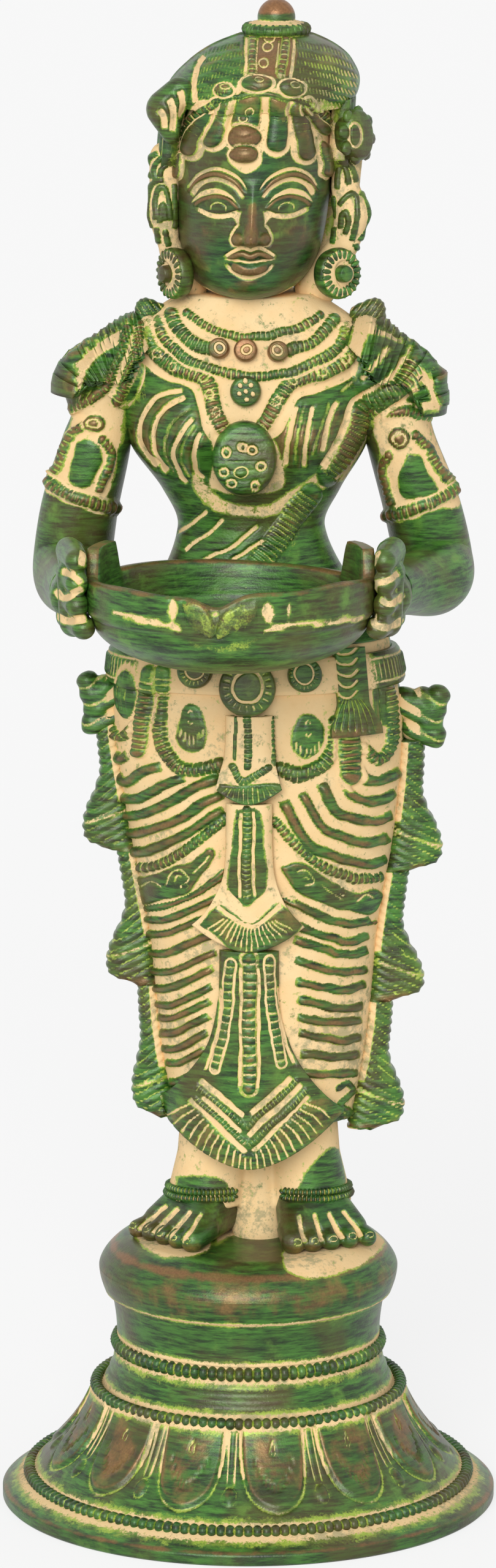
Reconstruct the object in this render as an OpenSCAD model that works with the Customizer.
// Lamp lady: a cast brass figure on a bell pedestal, holding out an oil bowl.
// Millimetres, +Z up, the figure faces -Y, and the origin is the middle of the foot plane.
// Left and right are as seen from the front.

/* [Pedestal] */
// Diameter of the foot that the lamp stands on
foot_d = 100; // [90:1:130]
// Height of the foot's upright edge
foot_edge_h = 3; // [2:0.5:6]
// Height of the sloping flange above the upright edge
flange_h = 3.5; // [2:0.5:6]
// Diameter of the bell at the lower beaded ring
bell_foot_d = 88.8; // [80:0.2:89]
// Diameter of the bell at the middle beaded ring
bell_top_d = 62; // [58:0.5:70]
// Height of the petalled bell between the two rings
bell_h = 17; // [14:0.5:26]
// How far the bell's side is drawn in
bell_sag = 1.8; // [0:0.1:2.4]
// Height of the plain cove between the middle ring and the neck ring
cove_h = 9; // [6:0.5:14]
// Diameter of the pedestal's neck
neck_d = 53.2; // [46:0.2:56]
// Wall of the hollow bell
bell_wall = 3; // [2:0.25:5]
// Width of the foot's flat ring
foot_ring_w = 5; // [4:0.5:9]
// Thickness of the plate that closes the bell's top
plate_t = 4; // [3:0.5:7]
// Wire diameter of the beaded rings
ring_wire_d = 2.6; // [1.6:0.1:3.2]
// Number of lotus petals round the bell
petal_count = 13; // [10:1:16]
// Width of a petal
petal_w = 12.4; // [8:0.2:14]
// How far a petal stands off the bell
petal_t = 0.8; // [0.5:0.1:1.4]

/* [Plinth drum] */
// Height of the drum
drum_h = 21; // [16:0.5:30]
// Largest diameter of the drum
drum_d = 60.4; // [56:0.2:72]
// Diameter of the drum's flat top
drum_top_d = 47; // [42:0.5:54]
// Height of the drum's waist below its moulding
drum_waist_h = 9.5; // [6:0.5:12]
// Height of the moulding's rounded shoulder
drum_shoulder_h = 8; // [4:0.5:9]

/* [Tie] */
// Diameter of the stud that ties the drum to the bell
tie_d = 6; // [5:0.5:10]
// Depth of the stud in the drum
tie_bite = 12; // [8:0.5:15]
// Outer diameter of the washer
washer_d = 18; // [14:0.5:26]
// Thickness of the washer
washer_t = 1.6; // [1:0.1:3]
// Width across the corners of the nut
nut_d = 11.5; // [11.5:0.1:18]
// Height of the nut
nut_h = 5; // [4:0.25:8]
// Length of stud that shows past the nut
tie_spare = 2; // [1:0.5:5]

/* [Legs] */
// Height of the ankles above the drum's top
foot_h = 9; // [8:0.5:12]
// Height of the shins between the feet and the hem
shin_h = 16; // [12:0.5:26]
// Diameter of an ankle
ankle_d = 14; // [11:0.5:16]
// Distance between the middles of the ankles
ankle_gap = 17; // [16.5:0.5:20]
// Length of a foot ahead of its ankle
foot_len = 19; // [16:0.5:22]
// How far the feet turn out, in degrees
foot_turn = 26; // [10:1:40]
// Height of an anklet
anklet_h = 2.8; // [1.6:0.2:5]
// Thickness of an anklet
anklet_t = 1.8; // [1:0.1:3]
// Height of the skirt from hem to hip
skirt_h = 98; // [80:1:130]
// Width of the skirt at the hem
hem_w = 36; // [32:0.5:46]
// Width of the skirt at the knees
knee_w = 46; // [40:0.5:60]
// Width of the skirt at the thighs
thigh_w = 57; // [50:0.5:70]
// Width of the hips at the girdle
hip_w = 54; // [48:0.5:66]
// Depth of the legs from front to back at the knees
leg_d = 31; // [28:0.5:42]
// Depth of the hips from front to back
hip_d = 32; // [28:0.5:42]
// How far the legs sway to the right
sway = 3; // [0:0.2:5]
// Number of upper folds on each thigh
upper_folds = 4; // [3:1:5]
// Number of lower folds on each leg
lower_folds = 10; // [8:1:11]
// Width of a fold
fold_w = 2.5; // [1.6:0.1:2.8]
// How far a fold stands off the skirt
fold_t = 1.2; // [0.8:0.1:2]

/* [Skirt trim] */
// Thickness of the apron's cloth
apron_t = 1.8; // [1:0.1:3]
// Width of the apron's upper fan
upper_fan_w = 12; // [9:0.5:16]
// Width of the apron's middle fan
middle_fan_w = 20.5; // [16:0.5:26]
// Width of the apron's lower fan
lower_fan_w = 35; // [26:0.5:38]
// How far the lower fan hangs below the hem
fan_drop = 8; // [4:0.5:12]
// Thickness of a streamer from front to back
streamer_t = 7; // [4:0.5:10]
// Width of a streamer beside the skirt
streamer_w = 4; // [2:0.2:6]
// How far a streamer's tips flare out
streamer_flare = 5.6; // [3:0.2:9]
// Height of the girdle
girdle_h = 7; // [4:0.5:10]
// Thickness of the girdle
girdle_t = 2.2; // [1.4:0.1:3.5]
// Diameter of the girdle's middle medallion
clasp_d = 12; // [8:0.5:14]
// Diameter of the girdle's side medallions
side_medal_d = 7.2; // [5:0.2:8]
// Width of a swag
swag_w = 2.8; // [1.6:0.1:4]

/* [Torso] */
// Height from hip to chin
torso_h = 68.5; // [58:0.5:84]
// Width of the waist
waist_w = 29.2; // [24:0.4:38]
// Depth of the waist from front to back
waist_d = 22; // [19:0.5:30]
// Width of the chest between the arms
chest_w = 44.8; // [38:0.4:54]
// Depth of the chest from front to back
chest_d = 25.5; // [22:0.5:34]
// Width of the neck
neck_w = 21; // [16:0.5:24]
// How far the bust stands forward
bust_t = 6.5; // [3:0.25:9]
// Width of the necklace bands
band_w = 3; // [1.8:0.1:4]
// How far the necklace bands stand off the chest
band_t = 1.4; // [0.8:0.1:2.4]
// Diameter of a collar gem
gem_d = 5.4; // [3.6:0.2:5.8]
// Diameter of the small pendant
small_pendant_d = 7; // [5:0.25:7.5]
// Diameter of the large pendant
large_pendant_d = 13.6; // [9:0.4:14]
// Thickness of the pendants
pendant_t = 2.4; // [1.4:0.2:4]
// Width of the shoulder sash
sash_w = 8; // [5:0.5:9]
// Thickness of the shoulder sash
sash_t = 1.2; // [0.8:0.1:2]

/* [Arms] */
// Diameter of an upper arm
arm_d = 15.2; // [12:0.2:16]
// Diameter of a wrist
wrist_d = 9.6; // [7:0.2:12]
// Height of the elbows above the hips
elbow_rise = 15; // [12:0.5:20]
// How far the left elbow stands out from the chest's side
left_elbow_out = 12.2; // [11.6:0.2:18]
// How far the right elbow stands out from the chest's side
right_elbow_out = 14.4; // [11.6:0.2:18]
// Thickness of a shoulder leaf
leaf_t = 2.2; // [1.2:0.1:3]
// How far a shoulder leaf's tip flares off the arm
leaf_flare = 2.4; // [1:0.2:6]
// Thickness of an armlet
armlet_t = 1.6; // [1:0.1:3]
// Height of an armlet's band
armlet_h = 5; // [3:0.25:7]
// Height of the armlet's front arch above its band
armlet_arch = 8; // [4:0.5:9]
// Diameter of a finger
finger_d = 4.7; // [3.6:0.1:5]

/* [Bowl] */
// Diameter of the oil bowl at its rim
bowl_d = 56; // [46:0.5:62]
// Depth of the bowl outside
bowl_h = 16; // [12:0.5:24]
// Wall of the bowl
bowl_wall = 2.4; // [1.6:0.1:4]
// Height of the bowl's upright rim
rim_h = 5.2; // [3:0.2:7]
// Height of the rim above the hips
rim_rise = 16.8; // [16:0.2:20]
// How far the bowl is held to the left of the middle
bowl_shift = 3.4; // [0:0.2:6]
// Height of the two thumb rests above the rim
rest_h = 7; // [4:0.5:10]
// Width of the wick notch
notch_w = 8; // [4:0.5:12]
// Depth of the wick notch
notch_t = 2.6; // [1.5:0.1:4]

/* [Head] */
// Height of the face from chin to diadem
face_h = 38.5; // [32:0.5:46]
// Width of the head
head_w = 30.4; // [27:0.2:36]
// Depth of the head from front to back
head_d = 36.5; // [32:0.5:44]
// Height of the crown above the diadem
crown_h = 10.4; // [8:0.2:18]
// Width of the crown
crown_w = 38; // [37:0.5:44]
// How far the crown leans to the right
crown_lean = 5.5; // [2:0.25:6]
// Thickness of the hair
hair_t = 3.6; // [2:0.1:5]
// Width of the diadem band
diadem_w = 3.2; // [2:0.1:4]
// Diameter of the earrings
earring_d = 10.8; // [8:0.2:11.5]
// Thickness of the earrings
earring_t = 2.8; // [1.6:0.2:4]
// Diameter of the fluted collar under the knob
finial_d = 13.6; // [10:0.2:15]
// Diameter of the knob on the crown
knob_d = 7.4; // [5:0.2:10]

/* [Fit] */
// Clearance between seated pieces
seat = 0.1; // [0.05:0.01:0.2]

/* [Hidden] */
$fn = 48;

green = "#2f7040";
deep_green = "#1f4f2e";
cream = "#efcb95";
copper = "#8a5a3c";

// Heights, from the foot upwards
z_flange = foot_edge_h + flange_h;
z_bell = z_flange + bell_h;
z_neck = z_bell + cove_h;
z_seat = z_neck + ring_wire_d / 2 + seat;
z_plinth = z_seat + drum_h;
z_ankle = z_plinth + foot_h;
z_hem = z_ankle + shin_h;
z_hip = z_hem + skirt_h;
z_chin = z_hip + torso_h;
z_diadem = z_chin + face_h;
z_crown = z_diadem + crown_h;
z_rim = z_hip + rim_rise;
z_elbow = z_hip + elbow_rise;

neck_r = neck_d / 2;
wire_r = ring_wire_d / 2;

// Places on a curve and on a body
function lerp(a, b, t) = a + (b - a) * t;
function unit(v) = v / norm(v);
function bell_wave(t) = exp(-t * t);
function seek(rows, z, i = 0) =
  i >= len(rows) - 2 || z < rows[i + 1][0] ? i : seek(rows, z, i + 1);
function slope(rows, i) =
  let (a = rows[max(i - 1, 0)], b = rows[min(i + 1, len(rows) - 1)])
  (b - a) / (b[0] - a[0]);
// A row of measures at height z, on a smooth curve through the listed rows
function row_at(rows, z) =
  let (
    i = seek(rows, z),
    a = rows[i],
    b = rows[i + 1],
    d = b[0] - a[0],
    t = (z - a[0]) / d,
    ease = t * t * (3 - 2 * t)
  )
  lerp(a, b, ease) + d * t * (1 - t) * ((1 - t) * slope(rows, i) - t * slope(rows, i + 1));
// A row is [z, middle x, half width, front depth, back depth]. Angle 0 is the front, 90 the right.
function on_body(rows, angle, z, out = 0, relief = undef) =
  let (
    r = row_at(rows, z),
    x = r[1] + (r[2] + out) * sin(angle),
    push = relief == undef || cos(angle) < 0 ? 0 : relief(x, z) * cos(angle)
  )
  [x, -((cos(angle) > 0 ? r[3] : r[4]) + out) * cos(angle) - push, z];
function outward(rows, angle, z, relief = undef) =
  let (
    e = 0.5,
    across = on_body(rows, angle + e, z, 0, relief) - on_body(rows, angle - e, z, 0, relief),
    up = on_body(rows, angle, z + e, 0, relief) - on_body(rows, angle, z - e, 0, relief)
  )
  unit(cross(across, up));
// The angle at which a body is x wide of the middle line
function angle_at(rows, x, z) =
  let (r = row_at(rows, z)) asin(max(-0.98, min(0.98, (x - r[1]) / r[2])));
function ring_on(rows, z, sides, relief = undef, out = 0) =
  [for (k = [0:sides - 1]) on_body(rows, 360 * k / sides, z, out, relief)];
function middle(loop) = [for (k = [0:2]) [for (p = loop) p[k]] * [for (p = loop) 1]] / len(loop);
function steps(n) = [for (i = [0:n]) i / n];

// A solid through a stack of loops, each counter-clockwise seen from the loop above it
module stack(loops) {
  n = len(loops[0]);
  top = (len(loops) - 1) * n;
  low_middle = len(loops) * n;
  polyhedron(
    points = concat([for (l = loops) each l], [middle(loops[0]), middle(loops[len(loops) - 1])]),
    faces = concat(
      [for (i = [0:len(loops) - 2], j = [0:n - 1])
        each let (a = i * n + j, b = i * n + (j + 1) % n) [[a, a + n, b], [b, a + n, b + n]]],
      [for (j = [0:n - 1]) [low_middle, j, (j + 1) % n]],
      [for (j = [0:n - 1]) [low_middle + 1, top + (j + 1) % n, top + j]]
    )
  );
}

// A sheet with thickness: rows from bottom to top, each an [outer, inner] pair of point lists
module sheet(rows) {
  w = len(rows[0][0]);
  n = 2 * w;
  top = (len(rows) - 1) * n;
  polyhedron(
    points = [for (r = rows) each concat(r[0], [for (k = [w - 1:-1:0]) r[1][k]])],
    faces = concat(
      [for (i = [0:len(rows) - 2], j = [0:n - 1])
        each let (a = i * n + j, b = i * n + (j + 1) % n) [[a, a + n, b], [b, a + n, b + n]]],
      [for (j = [0:w - 2])
        each let (a = j, c = n - 1 - j) [[a, a + 1, c - 1], [a, c - 1, c]]],
      [for (j = [0:w - 2])
        each let (a = top + j, c = top + n - 1 - j) [[a, c - 1, a + 1], [a, c, c - 1]]]
    )
  );
}

// A closed band: four rings of points, inner low, outer low, outer high and inner high
module hoop(rings) {
  n = len(rings[0]);
  polyhedron(
    points = [for (r = rings) each r],
    faces = [for (i = [0:3], j = [0:n - 1])
      each let (i2 = (i + 1) % 4, j2 = (j + 1) % n)
        [[i * n + j, i2 * n + j, i * n + j2], [i * n + j2, i2 * n + j, i2 * n + j2]]]
  );
}

// A rib that lies on a body along a route of [angle, z], w wide and t proud, thinning to its ends
module rib(rows, route, w, t, relief = undef, ends = 0.35) {
  last = len(route) - 1;
  at = [for (p = route) on_body(rows, p[0], p[1], 2 * seat, relief)];
  stack([for (i = [0:last])
    let (
      along = unit(at[min(i + 1, last)] - at[max(i - 1, 0)]),
      out = outward(rows, route[i][0], route[i][1], relief),
      side = unit(cross(out, along)),
      k = ends + (1 - ends) * sqrt(sin(180 * lerp(0.04, 0.96, i / last)))
    )
    [for (c = [[1, 0], [0.62, 0.78], [0, 1], [-0.62, 0.78], [-1, 0]])
      at[i] + side * c[0] * w / 2 * k + out * c[1] * t * k]]);
}

// A round tube through points, with its own radius at each, from a first direction to a last one
function headings(points, first, last) =
  [for (i = [0:len(points) - 1])
    i == 0 ? first : i == len(points) - 1 ? last : unit(points[i + 1] - points[i - 1])];
function carried(dirs, start, i = 0) =
  let (e = unit(start - dirs[i] * (start * dirs[i])))
  i == len(dirs) - 1 ? [e] : concat([e], carried(dirs, e, i + 1));
function smooth_row(rows, n) = [for (t = steps(n)) row_at(rows, t * rows[len(rows) - 1][0])];
module tube(points, radii, first, last, start, sides) {
  dirs = headings(points, first, last);
  front = carried(dirs, start);
  stack([for (i = [0:len(points) - 1])
    let (e = front[i], f = cross(dirs[i], e))
    [for (k = [0:sides - 1])
      points[i] + radii[i] * (e * cos(360 * k / sides) + f * sin(360 * k / sides))]]);
}

// A bead strung from one place to another, of two ball sizes
module bead(a, ra, b, rb) {
  hull() {
    translate(a) sphere(ra, $fn = 14);
    translate(b) sphere(rb, $fn = 14);
  }
}

// The right-hand piece of a pair, worked out for the left and turned over
module on_right() {
  mirror([1, 0, 0]) children();
}

// A round boss on a body, facing outwards
module boss(rows, angle, z, d, t, relief = undef, lift = 0) {
  rim_t = t * 0.6;
  out = outward(rows, angle, z, relief);
  translate(on_body(rows, angle, z, seat, relief) + out * lift)
    rotate([0, acos(out[2]), atan2(out[1], out[0])]) {
      cylinder(h = rim_t, d = d);
      translate([0, 0, rim_t]) cylinder(h = t - rim_t, d1 = d * 0.55, d2 = d * 0.3);
    }
}

// Pedestal

function bell_side(t, out = 0) =
  [lerp(bell_foot_d, bell_top_d, t) / 2 - bell_sag * sin(180 * t) + out, lerp(z_flange, z_bell, t)];
function cove_side(t) =
  [neck_r + (bell_top_d / 2 - wire_r - neck_r) * pow(1 - t, 1.5), lerp(z_bell, z_neck, t)];

module pedestal_bell() {
  under_plate = z_seat - plate_t;
  color(green) rotate_extrude() difference() {
    polygon(concat(
      [[tie_d / 2 + seat, z_seat], [tie_d / 2 + seat, under_plate]],
      [[neck_r - bell_wall, under_plate]],
      [for (t = steps(6)) bell_side(1 - t, -bell_wall)],
      [[foot_d / 2 - foot_ring_w, 0], [foot_d / 2, 0], [foot_d / 2, foot_edge_h]],
      [for (t = steps(8)) bell_side(t)],
      [for (t = steps(6)) cove_side(t)],
      [[neck_r, z_seat]]
    ));
    for (p = [[bell_foot_d / 2, z_flange], [bell_top_d / 2, z_bell], [neck_r, z_neck]])
      translate(p) circle(wire_r + seat);
  }
}

module bead_ring(d, z) {
  color(deep_green) rotate_extrude() translate([d / 2, z]) circle(wire_r);
}

module lower_bead_ring() bead_ring(bell_foot_d, z_flange);
module middle_bead_ring() bead_ring(bell_top_d, z_bell);
module neck_bead_ring() bead_ring(neck_d, z_neck);

module lotus_petals() {
  low = 0.14;
  high = 0.9;
  first = 0.3;
  round_h = petal_w / 2;
  color(copper) for (k = [0:petal_count - 1]) rotate(360 * (k + first) / petal_count)
    intersection() {
      rotate_extrude() polygon(concat(
        [for (t = steps(4)) bell_side(lerp(low, high, t), petal_t)],
        [for (t = steps(4)) bell_side(lerp(high, low, t), seat)]
      ));
      rotate([90, 0, 0]) linear_extrude(foot_d / 2) union() {
        translate([0, bell_side(low)[1] + round_h]) circle(d = petal_w);
        translate([-petal_w / 2, bell_side(low)[1] + round_h]) square([petal_w, bell_h]);
      }
    }
}

// Step under the drum's moulding
drum_step = 1.2;

module plinth_drum() {
  z_mould = z_seat + drum_waist_h;
  z_bulge = z_plinth - drum_shoulder_h;
  top_r = drum_top_d / 2;
  bulge = drum_d / 2 - top_r;
  under_r = drum_d / 2 - 2 * drum_step;
  mould_r = drum_d / 2 - drum_step;
  color(green) difference() {
    rotate_extrude() polygon(concat(
      [[0, z_seat], [neck_r, z_seat]],
      [for (t = steps(5)) [lerp(neck_r, under_r, t * t), lerp(z_seat, z_mould, t)]],
      [for (t = steps(3)) [lerp(mould_r, drum_d / 2, sin(90 * t)), lerp(z_mould, z_bulge, t)]],
      [for (a = [15:15:90]) [top_r + bulge * cos(a), z_bulge + drum_shoulder_h * sin(a)]],
      [[0, z_plinth]]
    ));
    translate([0, 0, z_seat]) cylinder(h = tie_bite + seat, d = tie_d + 2 * seat);
  }
}

// Tie between the drum and the bell
z_washer = z_seat - plate_t - washer_t;

module tie_stud() {
  bottom = z_washer - nut_h - tie_spare;
  color(copper) translate([0, 0, bottom]) cylinder(h = z_seat + tie_bite - bottom, d = tie_d);
}

module tie_washer() {
  color(copper) translate([0, 0, z_washer]) difference() {
    cylinder(h = washer_t, d = washer_d);
    cylinder(h = 3 * washer_t, d = tie_d + 2 * seat, center = true);
  }
}

module tie_nut() {
  color(copper) translate([0, 0, z_washer - nut_h]) difference() {
    cylinder(h = nut_h, d = nut_d, $fn = 6);
    cylinder(h = 3 * nut_h, d = tie_d + 2 * seat, center = true);
  }
}

// Feet and shins

// The ankles stand a little to the right, under the swaying legs
stance = sway * 0.7;

heel_r = 5;
ball_r = 3.6;
edge_r = 3.2;
toe_r = 2.2;
toe_pitch = 2.3;

module left_side_foot(ankle_x) {
  neck_r = ankle_d / 2 - 0.6;
  ball_y = -foot_len * 0.62;
  toe_len = foot_len * 0.34;
  toe_taper = 0.06;
  room = 4 * foot_len;
  color(green) intersection() {
    translate([ankle_x, 0, z_plinth]) rotate(-foot_turn) union() {
      heel = [0, heel_r * 0.7, heel_r];
      ankle = [0, 0, foot_h];
      inner = [ball_r * 0.9, ball_y, ball_r];
      outer = [-2 * toe_pitch, ball_y + 2, edge_r];
      bead(heel, heel_r, ankle, neck_r);
      bead(ankle, neck_r, inner, ball_r);
      bead(ankle, neck_r, outer, edge_r);
      hull() {
        translate(heel) sphere(heel_r, $fn = 14);
        translate(inner) sphere(ball_r, $fn = 14);
        translate(outer) sphere(edge_r, $fn = 14);
      }
      for (i = [0:4]) {
        r = toe_r * (1 - toe_taper * i);
        root = [toe_pitch * (1.8 - i), ball_y + toe_pitch * i / 2, r];
        bead(root, r, root + [0.7 - 0.3 * i, -toe_len + 0.6 * i, -r * 0.2], r * 0.8);
      }
    }
    translate([ankle_x + ankle_d / 2 - room, -room, z_plinth]) cube([room, 2 * room, foot_h]);
  }
}

module left_foot() left_side_foot(stance - ankle_gap / 2);
module right_foot() on_right() left_side_foot(-stance - ankle_gap / 2);

function shin_rows(x) = [
  [z_ankle, x, ankle_d / 2, ankle_d / 2, ankle_d / 2],
  [lerp(z_ankle, z_hem, 0.5), x, ankle_d * 0.47, ankle_d * 0.5, ankle_d * 0.5],
  [z_hem, x, ankle_d * 0.52, ankle_d * 0.6, ankle_d * 0.6]
];

module shins() {
  web_w = ankle_gap - ankle_d - 2 * seat;
  web_d = ankle_d * 0.6;
  color(cream) union() {
    for (x = [stance - ankle_gap / 2, stance + ankle_gap / 2])
      stack([for (t = steps(5)) ring_on(shin_rows(x), lerp(z_ankle, z_hem, t), 20)]);
    translate([stance - ankle_gap / 2, -web_d / 2, z_ankle]) cube([ankle_gap, web_d, shin_h]);
    translate([stance - web_w / 2, -web_d / 2, z_plinth]) cube([web_w, web_d, foot_h + shin_h]);
  }
}

// An open ring round the ankle, with its gap towards the other leg
module left_side_anklet(x) {
  low = z_ankle + 1;
  span = [132, 408];
  rows = shin_rows(x);
  color(deep_green) sheet([for (z = [low, low + anklet_h]) [
    for (out = [seat + anklet_t, seat])
      [for (t = steps(18)) on_body(rows, lerp(span[0], span[1], t), z, out)]
  ]]);
}

module left_anklet() left_side_anklet(stance - ankle_gap / 2);
module right_anklet() on_right() left_side_anklet(-stance - ankle_gap / 2);

// Skirt and what hangs on it

skirt_rows = [
  [z_hem, sway, hem_w / 2, leg_d * 0.45, leg_d * 0.4],
  [z_hem + skirt_h * 0.16, sway, lerp(hem_w, knee_w, 0.6) / 2, leg_d * 0.48, leg_d * 0.43],
  [z_hem + skirt_h * 0.38, sway, knee_w / 2, leg_d * 0.53, leg_d * 0.47],
  [z_hem + skirt_h * 0.66, sway * 0.85, thigh_w / 2 - 1, hip_d * 0.59, hip_d * 0.52],
  [z_hem + skirt_h * 0.84, sway * 0.6, thigh_w / 2 + 0.5, hip_d * 0.56, hip_d * 0.52],
  [z_hip, sway * 0.35, hip_w / 2, hip_d * 0.51, hip_d * 0.47]
];
groove_t = 2.2;
groove_w = 5;
groove_fade = 30;
leg_groove = function (x, z)
  -groove_t * bell_wave((x - sway) / groove_w) * min(1, max(0, (z_hip - z) / groove_fade));
z_girdle = z_hip - girdle_h - 2;

module skirt_core() {
  color(green) stack([for (t = steps(22)) ring_on(skirt_rows, lerp(z_hem, z_hip, t), 36, leg_groove)]);
}

// The apron's tiers from the girdle down, each [top, tip, fan width, height of the fan's point]
strip_w = 8;
strip_gap = 4;
z_upper_fan = z_hem + skirt_h * 0.69;
z_middle_fan = z_hem + skirt_h * 0.38;
apron_tiers = [
  [z_girdle - strip_gap, z_upper_fan, upper_fan_w, 3],
  [z_upper_fan - seat, z_middle_fan, middle_fan_w, 5],
  [z_middle_fan - seat, z_hem - fan_drop, lower_fan_w, 11]
];
function tier_w(tier, v) = lerp(strip_w, tier[2], pow(1 - max(0, min(1, v)), 1.7));
// Half the apron's width at height z
function apron_edge(z) = max([for (t = apron_tiers) z > t[0] || z < t[1] ? 0
  : min(1, (z - t[1]) / t[3]) * tier_w(t, (z - t[1] - t[3]) / (t[0] - t[1] - t[3])) / 2]);

// One tier: a strip that opens into a pointed fan
module apron_tier(tier) {
  color(green) sheet([for (v = steps(7)) [
    for (out = [4 * seat + apron_t, 4 * seat])
      [for (u = steps(12)) let (
          s = 2 * u - 1,
          z = lerp(tier[1] + tier[3] * abs(s), tier[0], v),
          held = max(z, z_hem)
        )
        [0, 0, z - held]
          + on_body(skirt_rows, angle_at(skirt_rows, sway + s * tier_w(tier, v) / 2, held), held, out)]
  ]]);
}

module apron_upper() apron_tier(apron_tiers[0]);
module apron_middle() apron_tier(apron_tiers[1]);
module apron_lower() apron_tier(apron_tiers[2]);

// One fold, from beside the apron down and out to the side
module leg_fold(side, z, drop) {
  near = max([for (h = [-3:1:2]) apron_edge(z + drop + h)]) + fold_w / 2 + 1;
  from = angle_at(skirt_rows, sway + side * near, z + drop);
  short_of = streamer_t / 2 + fold_w / 2;
  till = acos(min(1, short_of / row_at(skirt_rows, z)[3]));
  rib(skirt_rows, [for (t = steps(9)) [lerp(from, side * till, t), z + drop * pow(1 - t, 1.6)]],
    fold_w, fold_t, leg_groove);
}

module leg_folds(side) {
  upper = [z_hem + skirt_h * 0.53, z_hem + skirt_h * 0.66];
  lower = [z_hem + skirt_h * 0.09, z_hem + skirt_h * 0.44];
  upper_drop = 6;
  lower_drop = [1, 3.7];
  color(copper) {
    for (i = [0:upper_folds - 1])
      leg_fold(side, lerp(upper[0], upper[1], i / (upper_folds - 1)), upper_drop);
    for (i = [0:lower_folds - 1]) let (t = i / (lower_folds - 1))
      leg_fold(side, lerp(lower[0], lower[1], t), lerp(lower_drop[0], lower_drop[1], t));
  }
}

module left_leg_folds() leg_folds(-1);
module right_leg_folds() leg_folds(1);

// A streamer beside the skirt: three hanging tiers, each flaring to a tip
module streamer(side) {
  tiers = 3;
  top = z_hem + skirt_h * 0.785 - side * sway * 0.6;
  bottom = z_hem + 1 - side * sway * 0.6;
  tier_h = (top - bottom) / tiers;
  function edge(z) = on_body(skirt_rows, side * 90, max(z, z_hem), seat)[0];
  function flare(t) = streamer_w * (0.5 + 0.5 * t) + streamer_flare * pow(t, 2.2);
  color(green) translate([0, streamer_t / 2, 0]) rotate([90, 0, 0]) linear_extrude(streamer_t)
    polygon(concat(
      [for (k = [0:tiers - 1], t = concat(steps(6), [1.08])) let (z = top - tier_h * (k + t))
        [edge(z) + side * (t > 1 ? streamer_w : flare(t)), z]],
      [for (t = steps(12)) let (z = lerp(bottom, top, t)) [edge(z), z]]
    ));
}

module left_streamer() streamer(-1);
module right_streamer() streamer(1);

medal_t = 2.4;

module girdle() {
  sides = 36;
  top = z_girdle + girdle_h;
  color(deep_green) hoop([
    ring_on(skirt_rows, z_girdle, sides, undef, seat),
    ring_on(skirt_rows, z_girdle, sides, undef, seat + girdle_t),
    ring_on(skirt_rows, top, sides, undef, seat + girdle_t),
    ring_on(skirt_rows, top, sides, undef, seat)
  ]);
}

module girdle_medallions() {
  lift = girdle_t + seat;
  z = z_girdle + girdle_h / 2;
  apart = clasp_d / 2 + side_medal_d / 2 + 0.6;
  side_angle = angle_at(skirt_rows, row_at(skirt_rows, z)[1] + apart, z);
  color(copper) {
    boss(skirt_rows, 0, z - 1.5, clasp_d, medal_t, undef, lift);
    for (side = [-1, 1]) boss(skirt_rows, side * side_angle, z + 1, side_medal_d, medal_t, undef, lift);
  }
}

// Swags: a deep cup over each thigh and a small loop at the left hip, hung from the girdle
// Each cup is [inner x, outer x, depth] in shares of the thigh's width and the skirt's height
module swag(side) {
  swag_t = 1.5;
  top = z_girdle - swag_w / 2 - seat;
  cups = side < 0 ? [[0.096, 0.333, 0.133], [0.377, 0.474, 0.092]] : [[0.096, 0.307, 0.133]];
  color(deep_green) for (c = cups) let (depth = c[2] * skirt_h) rib(skirt_rows,
    [for (t = steps(12)) [
      angle_at(skirt_rows, sway + side * thigh_w * lerp(c[0], c[1], t), top - depth),
      top - depth * pow(sin(180 * lerp(0.02, 0.98, t)), 0.6)
    ]], swag_w, swag_t, leg_groove, 0.7);
}

module left_swag() swag(-1);
module right_swag() swag(1);

module hip_knot(side) {
  r = 2.8;
  z = z_girdle - r - 0.9;
  x = on_body(skirt_rows, side * 90, z)[0] + side * (r + seat);
  y = -1;
  head = [x, y, z + r * 0.4];
  loop = [x + side * r * 0.55, y, z - r * 0.9];
  tail = [x + side * r * 1.3, y, z + r * 0.7];
  color(green) {
    bead(head, r * 0.8, loop, r);
    bead(loop, r, tail, r * 0.65);
  }
}

module left_hip_knot() hip_knot(-1);
module right_hip_knot() hip_knot(1);

module sash_end() {
  end_t = 2;
  end_h = 13;
  span = [50, 66];
  lean = 6;
  color(copper) sheet([for (v = steps(6)) [
    for (out = [seat + end_t, seat])
      [for (u = steps(4)) on_body(skirt_rows, lerp(span[0], span[1], u) - lean * (1 - v),
        z_girdle - seat - end_h * (1 - v), out, leg_groove)]
  ]]);
}

// Torso and what is worn on it

torso_rows = [
  [z_hip, sway * 0.35, hip_w / 2, hip_d * 0.51, hip_d * 0.47],
  [z_hip + torso_h * 0.12, sway * 0.3, lerp(hip_w, waist_w, 0.46) / 2, lerp(hip_d, waist_d, 0.5) / 2 + 0.5,
    lerp(hip_d, waist_d, 0.5) / 2],
  [z_hip + torso_h * 0.32, sway * 0.2, waist_w / 2, waist_d / 2 + 0.3, waist_d / 2],
  [z_hip + torso_h * 0.43, sway * 0.2, lerp(waist_w, chest_w, 0.36) / 2, lerp(waist_d, chest_d, 0.4) / 2,
    lerp(waist_d, chest_d, 0.3) / 2],
  [z_hip + torso_h * 0.6, 0, chest_w / 2, chest_d / 2, chest_d / 2],
  [z_hip + torso_h * 0.77, 0, chest_w / 2, chest_d * 0.49, chest_d * 0.48],
  [z_hip + torso_h * 0.87, 0, chest_w * 0.475, chest_d * 0.44, chest_d * 0.45],
  [z_hip + torso_h * 0.94, 0, lerp(chest_w, neck_w, 0.5) / 2, chest_d * 0.39, chest_d * 0.42],
  [z_chin, 0, neck_w / 2, chest_d * 0.36, chest_d * 0.4]
];
z_bust = z_hip + torso_h * 0.605;
bust_x = chest_w * 0.277;
bust_w = 7.2;
bust_h = 7.4;
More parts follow.
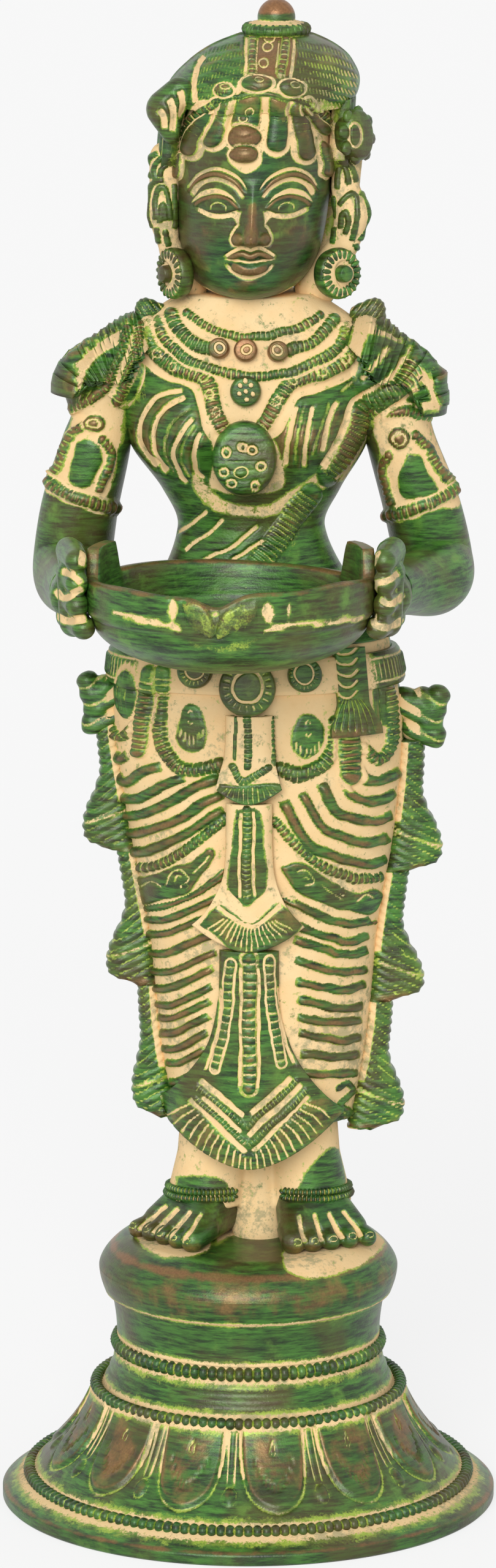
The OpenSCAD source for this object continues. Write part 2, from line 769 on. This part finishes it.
bust = function (x, z)
  bust_t * bell_wave((z - z_bust) / bust_h)
  * (bell_wave((x - bust_x) / bust_w) + bell_wave((x + bust_x) / bust_w));

module torso() {
  color(green) stack([for (t = steps(22)) ring_on(torso_rows, lerp(z_hip, z_chin, t), 36, bust)]);
}

// A necklace band: a curve across the chest between two shoulder angles
module necklace(half_angle, end_z, middle_z, bow, w, t) {
  color(deep_green) rib(torso_rows,
    [for (s = steps(20)) [lerp(-half_angle, half_angle, s),
      lerp(middle_z, end_z, pow(abs(2 * s - 1), bow))]], w, t, bust, 0.8);
}

z_choker = z_hip + torso_h * 0.915;
z_gems = z_hip + torso_h * 0.86;
z_collar = z_bust + band_w + 0.4;
gem_t = 2;
gem_gap = 0.4;

module choker() necklace(64, z_choker + torso_h * 0.05, z_choker, 1.8, band_w, band_t);
module gem_collar() necklace(76, z_gems + torso_h * 0.064, z_gems, 1.8, band_w, band_t);
module pendant_collar() necklace(47, z_gems - torso_h * 0.026, z_collar, 0.9, band_w * 1.2, band_t);

module collar_gems() {
  lift = band_t + seat;
  color(copper) for (k = [-1, 0, 1]) let (angle = angle_at(torso_rows, k * (gem_d + gem_gap), z_gems))
    boss(torso_rows, angle, z_gems, gem_d, gem_t, bust, lift);
}

// A disc that hangs in front of the chest and rests on it where the chest stands out most
module pendant(z, d) {
  high = [for (x = [-d / 2:d / 8:d / 2], s = [-1, 1])
    on_body(torso_rows, angle_at(torso_rows, x, z + s * 2), z + s * 2, seat, bust)[1]];
  translate([0, min(high), z]) rotate([90, 0, 0]) {
    cylinder(h = pendant_t, d = d);
    translate([0, 0, pendant_t]) cylinder(h = pendant_t * 0.4, d1 = d * 0.5, d2 = d * 0.3);
  }
}

module small_pendant() {
  color(copper) pendant(z_gems - gem_d / 2 - small_pendant_d / 2 - gem_gap, small_pendant_d);
}

module large_pendant() {
  color(copper) pendant(z_collar - band_w - large_pendant_d / 2, large_pendant_d);
}

// The sash's middle line is a route of [step, angle, height]
module shoulder_sash() {
  spread = 1.4;
  slant = 0.8;
  route = [
    [0, 39, z_bust + torso_h * 0.102],
    [1, 43, z_bust + torso_h * 0.029],
    [2, 34, z_bust - torso_h * 0.146],
    [3, 0, z_bust - torso_h * 0.263],
    [4, -52, z_bust - torso_h * 0.336]
  ];
  color(deep_green) sheet([for (v = steps(20)) let (p = row_at(route, 4 * (1 - v))) [
    for (out = [2 * seat + sash_t, 2 * seat])
      [for (u = steps(4)) on_body(torso_rows, p[1] + (u - 0.5) * sash_w * spread,
        p[2] - (u - 0.5) * sash_w * slant, out, bust)]
  ]]);
}

// Where the bowl is held, just clear of the belly
belly = max([for (z = [z_rim - rim_h:rim_h / 2:z_rim]) row_at(torso_rows, z)[3]]);
bowl_y = -belly - 2 * seat - bowl_d / 2;
z_bowl = z_rim - bowl_h;

// Arms: a row is [step, x, y, z, radius], for the left arm

arm_top = z_hip + torso_h * 0.79;
chest_side = chest_w / 2 + 1.4;
wrist_y = bowl_y + bowl_d * 0.24;
z_wrist = z_rim - 3;
function arm_rows(elbow_out, hand_x) = [
  [0, -chest_side, 0, arm_top, arm_d / 2],
  [1, -chest_side - arm_d * 0.4, 0, arm_top - arm_d * 0.26, arm_d / 2 + 0.2],
  [2, -chest_side - lerp(arm_d * 0.5, elbow_out, 0.04), 0.5, lerp(arm_top, z_elbow, 0.4), arm_d / 2 - 0.2],
  [3, -chest_side - lerp(arm_d * 0.5, elbow_out, 0.5), 2, lerp(arm_top, z_elbow, 0.72), arm_d / 2],
  [4, -chest_side - elbow_out, 3, z_elbow, arm_d / 2 + 0.4],
  [5, -chest_side - elbow_out - 0.3, -4, z_elbow - 3.6, arm_d / 2 + 0.2],
  [6, lerp(-chest_side - elbow_out, hand_x, 0.6), -16, z_elbow - 2.6, lerp(arm_d, wrist_d, 0.6) / 2],
  [7, hand_x, wrist_y, z_wrist, wrist_d / 2]
];
left_hand_x = -bowl_shift - bowl_d / 2 - finger_d / 2 - seat;
right_hand_x = -(bowl_d / 2 - bowl_shift + finger_d / 2 + seat);
left_rows = arm_rows(left_elbow_out, left_hand_x);
right_rows = arm_rows(right_elbow_out, right_hand_x);
arm_steps = 18;

function arm_points(rows) = [for (r = smooth_row(rows, arm_steps)) [r[1], r[2], r[3]]];
function arm_headings(rows) = headings(arm_points(rows), [-1, 0, 0], [0, -1, 0]);
// A place on the arm: angle 0 faces the front, and 90 faces up at the shoulder and out below it
function on_arm(rows, angle, i, out) =
  let (
    points = arm_points(rows),
    dirs = arm_headings(rows),
    e = carried(dirs, [0, -1, 0])[i],
    r = smooth_row(rows, arm_steps)[i][4] + out
  )
  points[i] + r * (e * cos(angle) + cross(dirs[i], e) * sin(angle));

// Room between the chest's flat facets and the arm's root
root_gap = 0.7;

// Where the arm's root meets the chest's side, at an angle round the arm and a radius
function on_side(angle, r) =
  let (
    z = arm_top + r * sin(angle),
    side = row_at(torso_rows, z),
    y = -r * cos(angle)
  )
  [-(side[2] + seat) * sqrt(1 - pow(y / (y < 0 ? side[3] : side[4]), 2)) - root_gap, y, z];

module left_side_arm(rows) {
  sides = 18;
  root_r = arm_d * 0.56;
  turn = 360 / sides;
  color(green) stack(concat(
    [for (r = [root_r / 2, root_r]) [for (k = [0:sides - 1]) on_side(turn * k, r)]],
    [for (i = [2:arm_steps]) [for (k = [0:sides - 1]) on_arm(rows, turn * k, i, 0)]]
  ));
}

module left_arm() left_side_arm(left_rows);
module right_arm() on_right() left_side_arm(right_rows);

// A leaf over the shoulder, with its lower tip curling off the arm
module left_side_leaf(rows) {
  count = 4;
  spread = 58;
  over = 78;
  color(green) sheet([for (i = [count:-1:0]) let (
      t = i / count,
      half = spread * pow(sin(180 * lerp(0.18, 0.94, t)), 0.7),
      lift = leaf_flare * t * t
    ) [
    for (out = [seat + leaf_t + lift, seat + lift * 0.55])
      [for (u = steps(6)) on_arm(rows, over + half * (1 - 2 * u), i, out)]
  ]]);
}

module left_shoulder_leaf() left_side_leaf(left_rows);
module right_shoulder_leaf() on_right() left_side_leaf(right_rows);

// An armlet: a band round the arm whose upper edge rises to an arch at the front
module left_side_armlet(rows) {
  sides = 28;
  i = 7;
  arch_at = 40;
  pitch = norm(arm_points(rows)[i + 1] - arm_points(rows)[i]);
  function arch(k) =
    armlet_h + armlet_arch * bell_wave(((360 * k / sides + 180 - arch_at) % 360 - 180) / 40);
  function edge(k, h, out) =
    let (
      s = h / pitch,
      a = on_arm(rows, 360 * k / sides, i, out),
      b = on_arm(rows, 360 * k / sides, i - 1, out),
      c = on_arm(rows, 360 * k / sides, i - 2, out),
      d = on_arm(rows, 360 * k / sides, i - 3, out)
    )
    s < 1 ? lerp(a, b, s) : s < 2 ? lerp(b, c, s - 1) : lerp(c, d, s - 2);
  color(deep_green) hoop([
    [for (k = [sides - 1:-1:0]) edge(k, 0, seat)],
    [for (k = [sides - 1:-1:0]) edge(k, 0, seat + armlet_t)],
    [for (k = [sides - 1:-1:0]) edge(k, arch(k), seat + armlet_t)],
    [for (k = [sides - 1:-1:0]) edge(k, arch(k), seat)]
  ]);
}

module left_armlet() left_side_armlet(left_rows);
module right_armlet() on_right() left_side_armlet(right_rows);

// Bowl

// Step under the bowl's upright rim
bowl_step = 1;

function bowl_side(a, wall) = [
  (bowl_d / 2 - bowl_step - wall) * sin(a),
  z_bowl + wall + (bowl_h - rim_h - wall) * (1 - cos(a))
];
// Outer radius of the bowl at height z
function bowl_r(z) =
  z > z_rim - rim_h ? bowl_d / 2
  : (bowl_d / 2 - bowl_step) * sin(acos(max(0, 1 - (z - z_bowl) / (bowl_h - rim_h))));

module oil_bowl() {
  rest_angle = 28;
  rest_from = 4;
  lip = bowl_d / 2 - bowl_wall;
  inset = bowl_wall / 8;
  bite = 1;
  color(green) translate([-bowl_shift, bowl_y, 0]) difference() {
    union() {
      rotate_extrude() polygon(concat(
        [for (a = [0:10:90]) bowl_side(a, 0)],
        [[bowl_d / 2, z_rim - rim_h + bowl_step], [bowl_d / 2, z_rim], [lip, z_rim]],
        [for (a = [90:-10:0]) bowl_side(a, bowl_wall)]
      ));
      for (turn = [180 - rest_angle - rest_from, rest_from]) rotate(turn)
        rotate_extrude(angle = rest_angle) polygon([
          [lip + inset, z_rim - bite],
          [bowl_d / 2 - inset, z_rim - bite],
          [bowl_d / 2 - inset, z_rim + rest_h],
          [lip + 2 * inset, z_rim + rest_h]
        ]);
    }
    translate([0, -bowl_d / 2 + 2 * bowl_wall, z_rim]) rotate([90, 0, 0]) linear_extrude(4 * bowl_wall)
      polygon([[-notch_w / 2, bite], [0, -notch_t], [notch_w / 2, bite]]);
  }
}

// A hand: a palm, four fingers one above the other along the bowl's side, and the thumb on top
module left_side_hand(x, bowl_x) {
  r = finger_d / 2;
  tip_y = bowl_y - bowl_d * 0.1;
  knuckle_y = bowl_y + bowl_d * 0.12;
  rest_r = bowl_d / 2 + r + 3 * seat;
  drop = finger_d * 0.94;
  room = 4 * bowl_d;
  color(green) intersection() {
    union() {
      bead([x, wrist_y + r, z_wrist], wrist_d / 2, [x - 0.6, knuckle_y, z_wrist], wrist_d / 2 - 0.8);
      for (i = [0:3]) {
        z = z_rim + finger_d - i * drop;
        close = bowl_x - bowl_r(z + r) - r - 4 * seat;
        bead([x - 0.8, wrist_y - 2, lerp(z, z_wrist, 0.35)], r, [x - 1.2, knuckle_y, z], r);
        bead([x - 1.2, knuckle_y, z], r, [close, tip_y, z], r * 0.85);
      }
      bead([x, wrist_y - 1, z_rim + 2], r, [bowl_x - rest_r, bowl_y + 4, z_rim + rest_h - r], r);
    }
    translate([-room, -room, 0]) cube([room, room + wrist_y, 2 * z_rim]);
    translate([bowl_x, bowl_y, z_bowl]) difference() {
      translate([-room, -room, -bowl_h]) cube([2 * room, 2 * room, 4 * bowl_h]);
      cylinder(h = 4 * bowl_h, r = bowl_d / 2 + seat, $fn = 64);
    }
  }
}

module left_hand() left_side_hand(left_hand_x, -bowl_shift);
module right_hand() on_right() left_side_hand(right_hand_x, bowl_shift);

// Head

head_rows = [
  [z_chin, 0, head_w * 0.31, head_d * 0.33, head_d * 0.3],
  [z_chin + face_h * 0.07, 0, head_w * 0.365, head_d * 0.41, head_d * 0.36],
  [z_chin + face_h * 0.18, 0.3, head_w * 0.43, head_d * 0.46, head_d * 0.41],
  [z_chin + face_h * 0.32, 0.5, head_w * 0.475, head_d * 0.49, head_d * 0.45],
  [z_chin + face_h * 0.55, 0.9, head_w * 0.5, head_d * 0.5, head_d * 0.48],
  [z_chin + face_h * 0.8, 1.4, head_w * 0.5, head_d * 0.5, head_d * 0.49],
  [z_diadem, crown_lean * 0.4, head_w * 0.49, head_d * 0.47, head_d * 0.47]
];
z_eyes = z_chin + face_h * 0.51;
z_nose = z_chin + face_h * 0.33;
z_lips = z_chin + face_h * 0.21;
face = function (x, z)
  3.6 * bell_wave(x / 1.9) * max(0, min(1, (z_eyes + 3 - z) / 9)) * max(0, min(1, (z - z_nose + 2) / 1.6))
  + 1.2 * bell_wave(x / 4.6) * (bell_wave((z - z_lips - 1.1) / 1) + bell_wave((z - z_lips + 1.2) / 1.1))
  + 1.4 * bell_wave(x / 4) * bell_wave((z - z_chin - 3) / 2.4)
  - 1.3 * bell_wave((abs(x) - 6.4) / 4) * bell_wave((z - z_eyes - 0.8) / 3)
  + 1.2 * bell_wave((abs(x) - 6.6) / 2.8) * bell_wave((z - z_eyes) / 1.6);

module head() {
  color(copper) stack([for (t = steps(32)) ring_on(head_rows, lerp(z_chin, z_diadem, t), 40, face)]);
}

// The band that frames the face from ear to ear
z_arch = z_diadem - diadem_w / 2 - 0.4;
z_arch_foot = z_eyes - 4;
function arch_z(angle) = lerp(z_arch, z_arch_foot, pow(abs(angle) / 80, 2.2));
function arch_angle(z) = 80 * pow(max(0, min(1, (z_arch - z) / (z_arch - z_arch_foot))), 1 / 2.2);

module hair_shell() {
  behind_band = 13;
  ear_room = 12;
  color(deep_green) sheet([for (v = steps(9)) let (
      z = lerp(z_chin + 4, z_diadem, v),
      from = arch_angle(z) + behind_band + (z < z_arch_foot + 3 ? ear_room : 0)
    ) [
    for (out = [hair_t, 4 * seat])
      [for (u = steps(30)) on_body(head_rows, lerp(from, 360 - from, u), z, out)]
  ]]);
}

crown_rows = [
  [z_diadem, crown_lean * 0.45, crown_w / 2, crown_w * 0.5, crown_w * 0.5],
  [z_diadem + crown_h * 0.4, crown_lean * 0.65, crown_w * 0.475, crown_w * 0.475, crown_w * 0.475],
  [z_diadem + crown_h * 0.75, crown_lean * 0.84, crown_w * 0.39, crown_w * 0.39, crown_w * 0.39],
  [z_crown, crown_lean, crown_w * 0.22, crown_w * 0.22, crown_w * 0.22]
];

module crown_cap() {
  color(green) stack([for (t = steps(9)) ring_on(crown_rows, lerp(z_diadem, z_crown, t), 32)]);
}

module crown_band() {
  reach = 66;
  band_t = 1.8;
  color(deep_green) rib(head_rows, [for (t = steps(24)) let (a = lerp(-reach, reach, t)) [a, arch_z(a)]],
    diadem_w, band_t, face, 0.8);
}

module forehead_locks() {
  lock_w = 4;
  lock_t = 1.6;
  lock_h = 7;
  lean = 3;
  gap = 2;
  color(copper) for (side = [-1, 1], a = [17, 32, 47]) rib(head_rows,
    [for (t = steps(5)) let (angle = side * (a + lean * t))
      [angle, arch_z(angle) - diadem_w / 2 - gap - lock_h * t]],
    lock_w, lock_t, face, 0.5);
}

module forehead_pendant() {
  drop_w = 5.6;
  drop_t = 2.4;
  drop_h = 10;
  gap = 0.8;
  color(copper) rib(head_rows, [for (t = steps(8)) [0, arch_z(0) - diadem_w / 2 - gap - drop_h * t]],
    drop_w, drop_t, face, 0.4);
}

module hair_bun() {
  r = 2.4;
  bun_h = 10;
  z = z_diadem - r - 1;
  top = on_body(head_rows, -66, z, hair_t + r + 4 * seat);
  color(green) translate(top) hull() {
    sphere(r, $fn = 20);
    translate([-0.4, 0, -bun_h * 0.6]) sphere(r, $fn = 20);
    translate([0, -1, -bun_h]) sphere(r * 0.67, $fn = 20);
  }
}

module side_flower() {
  flower_d = 10.4;
  flower_t = 3.2;
  z = z_diadem - flower_d / 2 - 2.2;
  color(green) boss(head_rows, 78, z, flower_d, flower_t, undef, hair_t + 2 * seat);
}

// Hair and ear beside the face, hanging from the diadem to the earring
// Each spot is [step, angle, share of the face's height, radius]
module tress(side) {
  spots = [[0, 74, 0.5, 2.4], [1, 76, 0.44, 3], [2, 76, 0.36, 2.6], [3, 74, 0.27, 1.6]];
  rows = smooth_row(spots, 9);
  points = [for (r = rows)
    on_body(head_rows, side * r[1], z_chin + face_h * r[2], r[3] + 2 * seat)];
  color(green) tube(points, [for (r = rows) r[3]], [0, 0, -1], [0, 0, -1], [0, -1, 0], 10);
}

module left_tress() tress(-1);
module right_tress() tress(1);

// A fluted disc that hangs under the ear and faces the front
module earring(side, turn) {
  z_lobe = z_chin + face_h * 0.27;
  lobe_r = 2.4;
  knob_t = 1;
  z = z_lobe - earring_d / 2 - 4 * seat;
  lobe = on_body(head_rows, side * 74, z_lobe, lobe_r);
  x = lobe[0] + side * earring_d * 0.14 * cos(turn);
  color(copper) translate([x, lobe[1], z]) rotate([90, 0, turn]) {
    cylinder(h = earring_t, d = earring_d, center = true);
    translate([0, 0, earring_t / 2]) cylinder(h = knob_t, d1 = earring_d * 0.5, d2 = earring_d * 0.3);
  }
}

module left_earring() earring(-1, -62);
module right_earring() earring(1, 10);

module crown_finial() {
  collar_h = 2.4;
  bead_r = 1.4;
  z_knob = collar_h + knob_d * 0.4;
  color(copper) translate([crown_lean, 0, z_crown]) rotate_extrude() polygon(concat(
    [[0, 0], [finial_d * 0.42, 0]],
    [for (a = [-60:30:60]) [finial_d / 2 - bead_r + bead_r * cos(a), collar_h / 2 * (1 + sin(a))]],
    [[knob_d * 0.35, collar_h]],
    [for (a = [-45:15:75]) [knob_d / 2 * cos(a), z_knob + knob_d / 2 * sin(a)]],
    [[0, z_knob + knob_d / 2]]
  ));
}

pedestal_bell();
lotus_petals();
lower_bead_ring();
middle_bead_ring();
neck_bead_ring();
plinth_drum();
tie_stud();
tie_washer();
tie_nut();
left_foot();
right_foot();
shins();
left_anklet();
right_anklet();
skirt_core();
left_leg_folds();
right_leg_folds();
apron_upper();
apron_middle();
apron_lower();
left_streamer();
right_streamer();
girdle();
girdle_medallions();
left_swag();
right_swag();
left_hip_knot();
right_hip_knot();
sash_end();
torso();
shoulder_sash();
choker();
gem_collar();
collar_gems();
pendant_collar();
small_pendant();
large_pendant();
left_arm();
right_arm();
left_shoulder_leaf();
right_shoulder_leaf();
left_armlet();
right_armlet();
left_hand();
right_hand();
oil_bowl();
head();
hair_shell();
crown_cap();
crown_band();
forehead_locks();
forehead_pendant();
hair_bun();
side_flower();
left_tress();
right_tress();
left_earring();
right_earring();
crown_finial();
